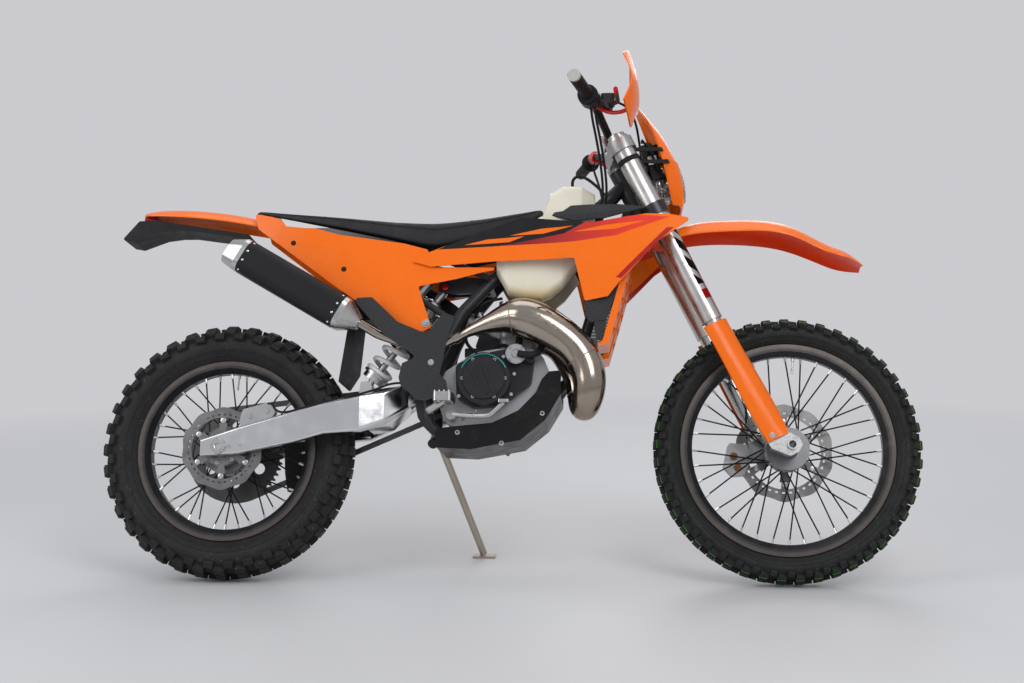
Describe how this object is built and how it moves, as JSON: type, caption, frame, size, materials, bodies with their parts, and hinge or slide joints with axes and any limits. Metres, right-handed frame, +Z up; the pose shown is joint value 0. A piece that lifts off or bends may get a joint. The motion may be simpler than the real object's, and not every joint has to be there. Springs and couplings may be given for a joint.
{
  "type": "enduro dirt bike",
  "caption": "Two-stroke enduro motorcycle with knobbly tyres and spoked wheels, leaning on its side stand.",
  "frame": {"origin": "middle of the leaning bike's footprint, on the floor", "axes": "+X forward along the bike, +Y to its left, +Z up; the bike leans to its left by 15 degrees"},
  "size_m": [2.177, 0.8418, 1.3757],
  "materials": {
    "orange_plastic": "glossy moulded colour",
    "black_plastic": "fine moulded texture",
    "gloss_black": "glossy",
    "tank_plastic": "cream translucent",
    "seat_cover": "textured cover",
    "rubber_black": "moulded",
    "tyre_rubber": "knobbly",
    "rim_black": "black anodised",
    "hub_alloy": "machined",
    "polished_alloy": "polished",
    "cast_alloy": "cast",
    "dark_alloy": "dark coated",
    "disc_steel": "ground",
    "dark_steel": "dark",
    "pipe_nickel": "nickel",
    "frame_paint": "powder coat",
    "white_paint": "powder coat",
    "lamp_lens": "clear",
    "red_lens": "red lens"
  },
  "bodies": {
    "chassis": {"main_frame": "frame_paint", "pivot_bolt": "disc_steel", "subframe": "frame_paint", "frame_guards": "black_plastic", "swingarm": "polished_alloy", "rear_axle": "hub_alloy", "shock_absorber": "cast_alloy", "shock_spring": "white_paint", "engine_cases": "cast_alloy", "engine_covers": "dark_alloy", "cylinder": "cast_alloy", "throttle_body": "dark_alloy", "exhaust_pipe": "pipe_nickel", "silencer": "rim_black", "silencer_caps": "polished_alloy", "fuel_tank": "tank_plastic", "seat": "seat_cover", "side_panel_right": "orange_plastic", "side_panel_left": "orange_plastic", "shroud_right": "orange_plastic", "shroud_left": "orange_plastic", "radiators": "cast_alloy", "radiator_louvres": "orange_plastic", "rear_fender": "orange_plastic", "plate_holder": "black_plastic", "tail_lamp": "red_lens", "skid_plate": "gloss_black", "air_box": "black_plastic", "drive_chain": "dark_steel", "rear_caliper": "dark_alloy", "footpegs": "polished_alloy", "foot_controls": "cast_alloy"},
    "steering": {"triple_clamps": "dark_alloy", "fork_tubes": "hub_alloy", "fork_sliders": "hub_alloy", "fork_guards": "orange_plastic", "front_axle": "hub_alloy", "front_fender": "orange_plastic", "headlight_mask": "orange_plastic", "headlamp": "lamp_lens", "handlebar": "rim_black", "grips": "rubber_black", "hand_controls": "black_plastic", "hand_guards": "orange_plastic", "front_caliper": "dark_alloy"},
    "front_wheel": {"front_tyre": "tyre_rubber", "front_rim": "rim_black", "front_hub": "hub_alloy", "front_disc": "disc_steel"},
    "rear_wheel": {"rear_tyre": "tyre_rubber", "rear_rim": "rim_black", "rear_hub": "hub_alloy", "rear_disc": "disc_steel", "rear_sprocket": "dark_steel"},
    "side_stand": {"side_stand": "cast_alloy"}
  },
  "joints": [
    {"name": "steering", "type": "hinge", "parent": "chassis", "child": "steering", "pos_m": [0.33511, -0.04463, 1.01843], "axis": [-0.4399, 0.2324, 0.8674], "range_deg": [-42, 42]},
    {"name": "front_wheel_spin", "type": "hinge", "parent": "steering", "child": "front_wheel", "pos_m": [0.73949, -0.2258, 0.34231], "axis": [0, 0.9659, -0.2588], "continuous": true},
    {"name": "rear_wheel_spin", "type": "hinge", "parent": "chassis", "child": "rear_wheel", "pos_m": [-0.74749, -0.22788, 0.33456], "axis": [0, 0.9659, -0.2588], "continuous": true},
    {"name": "side_stand_fold", "type": "hinge", "parent": "chassis", "child": "side_stand", "pos_m": [-0.19949, -0.0815, 0.35538], "axis": [0.2229, 0.9224, 0.3153], "range_deg": [0, 106.5]}
  ]
}
